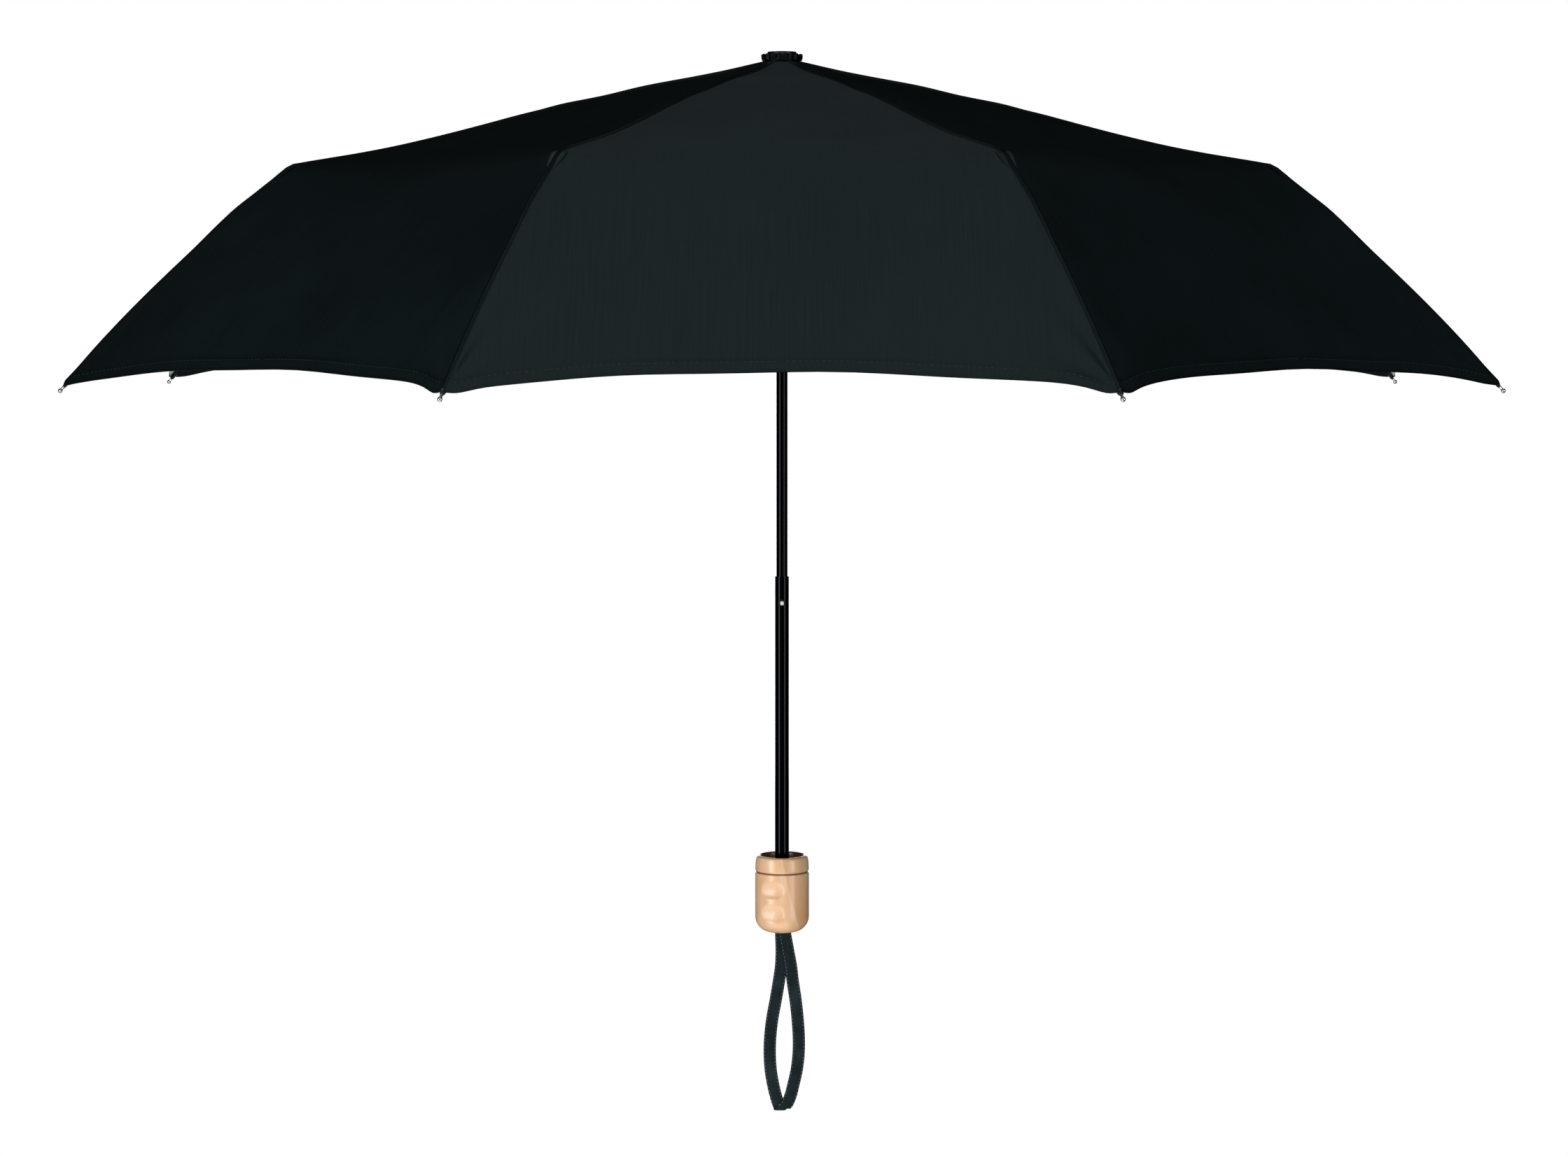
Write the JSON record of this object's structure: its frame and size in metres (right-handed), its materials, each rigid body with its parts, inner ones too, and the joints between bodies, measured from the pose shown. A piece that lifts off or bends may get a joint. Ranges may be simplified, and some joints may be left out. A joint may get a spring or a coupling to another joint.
{
  "type": "folding umbrella",
  "caption": "Open folding umbrella with a dark cloth canopy on a three-fold rib frame, a telescopic black shaft, a turned wooden handle and a wrist strap.",
  "frame": {"origin": "centre of the handle grip, on the shaft's axis", "axes": "+Z along the shaft towards the crown, -Y the front, which the middle of a canopy panel faces, +X to the right"},
  "size_m": [0.8528, 0.8528, 0.6819],
  "materials": {
    "wood": "clear-lacquered pale beech",
    "webbing": "dark slate webbing, stitched along both edges",
    "tube_black": "gloss black lacquered steel",
    "spring_steel": "bright spring steel",
    "black_plastic": "moulded black nylon",
    "canopy_cloth": "tightly woven polyester, water-repellent, very dark slate",
    "rib_metal": "black coated steel channel",
    "rib_wire": "black coated spring wire",
    "tip_chrome": "plated metal"
  },
  "bodies": {
    "handle_body": {"handle": "wood", "wrist_strap": "webbing", "lower_tube": "tube_black"},
    "middle_shaft": {"middle_tube": "tube_black"},
    "upper_shaft": {"upper_tube": "tube_black", "crown": "black_plastic", "crown_wire": "spring_steel", "top_cap": "black_plastic", "cap_rosette": "canopy_cloth", "canopy": "canopy_cloth"},
    "runner_body": {"runner": "black_plastic", "runner_wire": "spring_steel"},
    "lower_catch_body": {"lower_catch": "spring_steel"},
    "upper_catch_body": {"upper_catch": "spring_steel"},
    "runner_catch_body": {"runner_catch": "spring_steel"},
    "top_rib_body_1": {"top_rib_1": "rib_metal"},
    "stretcher_body_1": {"stretcher_1": "rib_metal"},
    "mid_rib_body_1": {"mid_rib_1": "rib_metal"},
    "end_rib_body_1": {"end_rib_1": "rib_wire", "rib_tip_1": "tip_chrome"},
    "top_rib_body_2": {"top_rib_2": "rib_metal"},
    "stretcher_body_2": {"stretcher_2": "rib_metal"},
    "mid_rib_body_2": {"mid_rib_2": "rib_metal"},
    "end_rib_body_2": {"end_rib_2": "rib_wire", "rib_tip_2": "tip_chrome"},
    "top_rib_body_3": {"top_rib_3": "rib_metal"},
    "stretcher_body_3": {"stretcher_3": "rib_metal"},
    "mid_rib_body_3": {"mid_rib_3": "rib_metal"},
    "end_rib_body_3": {"end_rib_3": "rib_wire", "rib_tip_3": "tip_chrome"},
    "top_rib_body_4": {"top_rib_4": "rib_metal"},
    "stretcher_body_4": {"stretcher_4": "rib_metal"},
    "mid_rib_body_4": {"mid_rib_4": "rib_metal"},
    "end_rib_body_4": {"end_rib_4": "rib_wire", "rib_tip_4": "tip_chrome", "tie_band": "canopy_cloth"},
    "top_rib_body_5": {"top_rib_5": "rib_metal"},
    "stretcher_body_5": {"stretcher_5": "rib_metal"},
    "mid_rib_body_5": {"mid_rib_5": "rib_metal"},
    "end_rib_body_5": {"end_rib_5": "rib_wire", "rib_tip_5": "tip_chrome"},
    "top_rib_body_6": {"top_rib_6": "rib_metal"},
    "stretcher_body_6": {"stretcher_6": "rib_metal"},
    "mid_rib_body_6": {"mid_rib_6": "rib_metal"},
    "end_rib_body_6": {"end_rib_6": "rib_wire", "rib_tip_6": "tip_chrome"},
    "top_rib_body_7": {"top_rib_7": "rib_metal"},
    "stretcher_body_7": {"stretcher_7": "rib_metal"},
    "mid_rib_body_7": {"mid_rib_7": "rib_metal"},
    "end_rib_body_7": {"end_rib_7": "rib_wire", "rib_tip_7": "tip_chrome"},
    "top_rib_body_8": {"top_rib_8": "rib_metal"},
    "stretcher_body_8": {"stretcher_8": "rib_metal"},
    "mid_rib_body_8": {"mid_rib_8": "rib_metal"},
    "end_rib_body_8": {"end_rib_8": "rib_wire", "rib_tip_8": "tip_chrome"}
  },
  "joints": [
    {"name": "middle_tube_slide", "type": "slide", "parent": "handle_body", "child": "middle_shaft", "axis": [0, 0, -1], "range_m": [0, 0.157], "deforming": ["lower_catch"]},
    {"name": "upper_tube_slide", "type": "slide", "parent": "middle_shaft", "child": "upper_shaft", "axis": [0, 0, -1], "range_m": [0, 0.157], "deforming": ["upper_catch"]},
    {"name": "runner_slide", "type": "slide", "parent": "upper_shaft", "child": "runner_body", "axis": [0, 0, -1], "range_m": [0, 0.12306], "deforming": ["canopy", "runner_catch", "tie_band"]},
    {"name": "lower_catch_press", "type": "slide", "parent": "middle_shaft", "child": "lower_catch_body", "axis": [0, 1, 0], "range_m": [0, 0.0012], "stiffness_N_per_m": 250},
    {"name": "upper_catch_press", "type": "slide", "parent": "upper_shaft", "child": "upper_catch_body", "axis": [0, 1, 0], "range_m": [0, 0.001], "stiffness_N_per_m": 250},
    {"name": "runner_catch_press", "type": "slide", "parent": "upper_shaft", "child": "runner_catch_body", "axis": [0, 1, 0], "range_m": [0, 0.0012], "stiffness_N_per_m": 250},
    {"name": "top_rib_fold_1", "type": "hinge", "parent": "upper_shaft", "child": "top_rib_body_1", "pos_m": [0.00306, -0.00739, 0.531], "axis": [0.9239, 0.3827, 0], "range_deg": [0, 76.86]},
    {"name": "stretcher_fold_1", "type": "hinge", "parent": "top_rib_body_1", "child": "stretcher_body_1", "pos_m": [0.0347, -0.08378, 0.51129], "axis": [-0.9239, -0.3827, 0], "range_deg": [0, 145.22]},
    {"name": "mid_rib_fold_1", "type": "hinge", "parent": "top_rib_body_1", "child": "mid_rib_body_1", "pos_m": [0.06199, -0.14967, 0.497], "axis": [-0.9239, -0.3827, 0], "range_deg": [0, 180.27]},
    {"name": "end_rib_fold_1", "type": "hinge", "parent": "mid_rib_body_1", "child": "end_rib_body_1", "pos_m": [0.12016, -0.2901, 0.4586], "axis": [0.9239, 0.3827, 0], "range_deg": [0, 151.96]},
    {"name": "top_rib_fold_2", "type": "hinge", "parent": "upper_shaft", "child": "top_rib_body_2", "pos_m": [0.00739, -0.00306, 0.531], "axis": [0.3827, 0.9239, 0], "range_deg": [0, 76.86]},
    {"name": "stretcher_fold_2", "type": "hinge", "parent": "top_rib_body_2", "child": "stretcher_body_2", "pos_m": [0.08378, -0.0347, 0.51129], "axis": [-0.3827, -0.9239, 0], "range_deg": [0, 145.22]},
    {"name": "mid_rib_fold_2", "type": "hinge", "parent": "top_rib_body_2", "child": "mid_rib_body_2", "pos_m": [0.14967, -0.06199, 0.497], "axis": [-0.3827, -0.9239, 0], "range_deg": [0, 180.27]},
    {"name": "end_rib_fold_2", "type": "hinge", "parent": "mid_rib_body_2", "child": "end_rib_body_2", "pos_m": [0.2901, -0.12016, 0.4586], "axis": [0.3827, 0.9239, 0], "range_deg": [0, 151.96]},
    {"name": "top_rib_fold_3", "type": "hinge", "parent": "upper_shaft", "child": "top_rib_body_3", "pos_m": [0.00739, 0.00306, 0.531], "axis": [-0.3827, 0.9239, 0], "range_deg": [0, 76.86]},
    {"name": "stretcher_fold_3", "type": "hinge", "parent": "top_rib_body_3", "child": "stretcher_body_3", "pos_m": [0.08378, 0.0347, 0.51129], "axis": [0.3827, -0.9239, 0], "range_deg": [0, 145.22]},
    {"name": "mid_rib_fold_3", "type": "hinge", "parent": "top_rib_body_3", "child": "mid_rib_body_3", "pos_m": [0.14967, 0.06199, 0.497], "axis": [0.3827, -0.9239, 0], "range_deg": [0, 180.27]},
    {"name": "end_rib_fold_3", "type": "hinge", "parent": "mid_rib_body_3", "child": "end_rib_body_3", "pos_m": [0.2901, 0.12016, 0.4586], "axis": [-0.3827, 0.9239, 0], "range_deg": [0, 151.96]},
    {"name": "top_rib_fold_4", "type": "hinge", "parent": "upper_shaft", "child": "top_rib_body_4", "pos_m": [0.00306, 0.00739, 0.531], "axis": [-0.9239, 0.3827, 0], "range_deg": [0, 76.86]},
    {"name": "stretcher_fold_4", "type": "hinge", "parent": "top_rib_body_4", "child": "stretcher_body_4", "pos_m": [0.0347, 0.08378, 0.51129], "axis": [0.9239, -0.3827, 0], "range_deg": [0, 145.22]},
    {"name": "mid_rib_fold_4", "type": "hinge", "parent": "top_rib_body_4", "child": "mid_rib_body_4", "pos_m": [0.06199, 0.14967, 0.497], "axis": [0.9239, -0.3827, 0], "range_deg": [0, 180.27]},
    {"name": "end_rib_fold_4", "type": "hinge", "parent": "mid_rib_body_4", "child": "end_rib_body_4", "pos_m": [0.12016, 0.2901, 0.4586], "axis": [-0.9239, 0.3827, 0], "range_deg": [0, 151.96]},
    {"name": "top_rib_fold_5", "type": "hinge", "parent": "upper_shaft", "child": "top_rib_body_5", "pos_m": [-0.00306, 0.00739, 0.531], "axis": [-0.9239, -0.3827, 0], "range_deg": [0, 76.86]},
    {"name": "stretcher_fold_5", "type": "hinge", "parent": "top_rib_body_5", "child": "stretcher_body_5", "pos_m": [-0.0347, 0.08378, 0.51129], "axis": [0.9239, 0.3827, 0], "range_deg": [0, 145.22]},
    {"name": "mid_rib_fold_5", "type": "hinge", "parent": "top_rib_body_5", "child": "mid_rib_body_5", "pos_m": [-0.06199, 0.14967, 0.497], "axis": [0.9239, 0.3827, 0], "range_deg": [0, 180.27]},
    {"name": "end_rib_fold_5", "type": "hinge", "parent": "mid_rib_body_5", "child": "end_rib_body_5", "pos_m": [-0.12016, 0.2901, 0.4586], "axis": [-0.9239, -0.3827, 0], "range_deg": [0, 151.96]},
    {"name": "top_rib_fold_6", "type": "hinge", "parent": "upper_shaft", "child": "top_rib_body_6", "pos_m": [-0.00739, 0.00306, 0.531], "axis": [-0.3827, -0.9239, 0], "range_deg": [0, 76.86]},
    {"name": "stretcher_fold_6", "type": "hinge", "parent": "top_rib_body_6", "child": "stretcher_body_6", "pos_m": [-0.08378, 0.0347, 0.51129], "axis": [0.3827, 0.9239, 0], "range_deg": [0, 145.22]},
    {"name": "mid_rib_fold_6", "type": "hinge", "parent": "top_rib_body_6", "child": "mid_rib_body_6", "pos_m": [-0.14967, 0.06199, 0.497], "axis": [0.3827, 0.9239, 0], "range_deg": [0, 180.27]},
    {"name": "end_rib_fold_6", "type": "hinge", "parent": "mid_rib_body_6", "child": "end_rib_body_6", "pos_m": [-0.2901, 0.12016, 0.4586], "axis": [-0.3827, -0.9239, 0], "range_deg": [0, 151.96]},
    {"name": "top_rib_fold_7", "type": "hinge", "parent": "upper_shaft", "child": "top_rib_body_7", "pos_m": [-0.00739, -0.00306, 0.531], "axis": [0.3827, -0.9239, 0], "range_deg": [0, 76.86]},
    {"name": "stretcher_fold_7", "type": "hinge", "parent": "top_rib_body_7", "child": "stretcher_body_7", "pos_m": [-0.08378, -0.0347, 0.51129], "axis": [-0.3827, 0.9239, 0], "range_deg": [0, 145.22]},
    {"name": "mid_rib_fold_7", "type": "hinge", "parent": "top_rib_body_7", "child": "mid_rib_body_7", "pos_m": [-0.14967, -0.06199, 0.497], "axis": [-0.3827, 0.9239, 0], "range_deg": [0, 180.27]},
    {"name": "end_rib_fold_7", "type": "hinge", "parent": "mid_rib_body_7", "child": "end_rib_body_7", "pos_m": [-0.2901, -0.12016, 0.4586], "axis": [0.3827, -0.9239, 0], "range_deg": [0, 151.96]},
    {"name": "top_rib_fold_8", "type": "hinge", "parent": "upper_shaft", "child": "top_rib_body_8", "pos_m": [-0.00306, -0.00739, 0.531], "axis": [0.9239, -0.3827, 0], "range_deg": [0, 76.86]},
    {"name": "stretcher_fold_8", "type": "hinge", "parent": "top_rib_body_8", "child": "stretcher_body_8", "pos_m": [-0.0347, -0.08378, 0.51129], "axis": [-0.9239, 0.3827, 0], "range_deg": [0, 145.22]},
    {"name": "mid_rib_fold_8", "type": "hinge", "parent": "top_rib_body_8", "child": "mid_rib_body_8", "pos_m": [-0.06199, -0.14967, 0.497], "axis": [-0.9239, 0.3827, 0], "range_deg": [0, 180.27]},
    {"name": "end_rib_fold_8", "type": "hinge", "parent": "mid_rib_body_8", "child": "end_rib_body_8", "pos_m": [-0.12016, -0.2901, 0.4586], "axis": [0.9239, -0.3827, 0], "range_deg": [0, 151.96]}
  ],
  "couplings": [
    {"joint": "top_rib_fold_1", "follows": "runner_slide", "rad_per_m": 10.901},
    {"joint": "stretcher_fold_1", "follows": "runner_slide", "rad_per_m": 20.596},
    {"joint": "mid_rib_fold_1", "follows": "runner_slide", "rad_per_m": 25.567},
    {"joint": "end_rib_fold_1", "follows": "runner_slide", "rad_per_m": 21.552},
    {"joint": "top_rib_fold_2", "follows": "runner_slide", "rad_per_m": 10.901},
    {"joint": "stretcher_fold_2", "follows": "runner_slide", "rad_per_m": 20.596},
    {"joint": "mid_rib_fold_2", "follows": "runner_slide", "rad_per_m": 25.567},
    {"joint": "end_rib_fold_2", "follows": "runner_slide", "rad_per_m": 21.552},
    {"joint": "top_rib_fold_3", "follows": "runner_slide", "rad_per_m": 10.901},
    {"joint": "stretcher_fold_3", "follows": "runner_slide", "rad_per_m": 20.596},
    {"joint": "mid_rib_fold_3", "follows": "runner_slide", "rad_per_m": 25.567},
    {"joint": "end_rib_fold_3", "follows": "runner_slide", "rad_per_m": 21.552},
    {"joint": "top_rib_fold_4", "follows": "runner_slide", "rad_per_m": 10.901},
    {"joint": "stretcher_fold_4", "follows": "runner_slide", "rad_per_m": 20.596},
    {"joint": "mid_rib_fold_4", "follows": "runner_slide", "rad_per_m": 25.567},
    {"joint": "end_rib_fold_4", "follows": "runner_slide", "rad_per_m": 21.552},
    {"joint": "top_rib_fold_5", "follows": "runner_slide", "rad_per_m": 10.901},
    {"joint": "stretcher_fold_5", "follows": "runner_slide", "rad_per_m": 20.596},
    {"joint": "mid_rib_fold_5", "follows": "runner_slide", "rad_per_m": 25.567},
    {"joint": "end_rib_fold_5", "follows": "runner_slide", "rad_per_m": 21.552},
    {"joint": "top_rib_fold_6", "follows": "runner_slide", "rad_per_m": 10.901},
    {"joint": "stretcher_fold_6", "follows": "runner_slide", "rad_per_m": 20.596},
    {"joint": "mid_rib_fold_6", "follows": "runner_slide", "rad_per_m": 25.567},
    {"joint": "end_rib_fold_6", "follows": "runner_slide", "rad_per_m": 21.552},
    {"joint": "top_rib_fold_7", "follows": "runner_slide", "rad_per_m": 10.901},
    {"joint": "stretcher_fold_7", "follows": "runner_slide", "rad_per_m": 20.596},
    {"joint": "mid_rib_fold_7", "follows": "runner_slide", "rad_per_m": 25.567},
    {"joint": "end_rib_fold_7", "follows": "runner_slide", "rad_per_m": 21.552},
    {"joint": "top_rib_fold_8", "follows": "runner_slide", "rad_per_m": 10.901},
    {"joint": "stretcher_fold_8", "follows": "runner_slide", "rad_per_m": 20.596},
    {"joint": "mid_rib_fold_8", "follows": "runner_slide", "rad_per_m": 25.567},
    {"joint": "end_rib_fold_8", "follows": "runner_slide", "rad_per_m": 21.552}
  ]
}
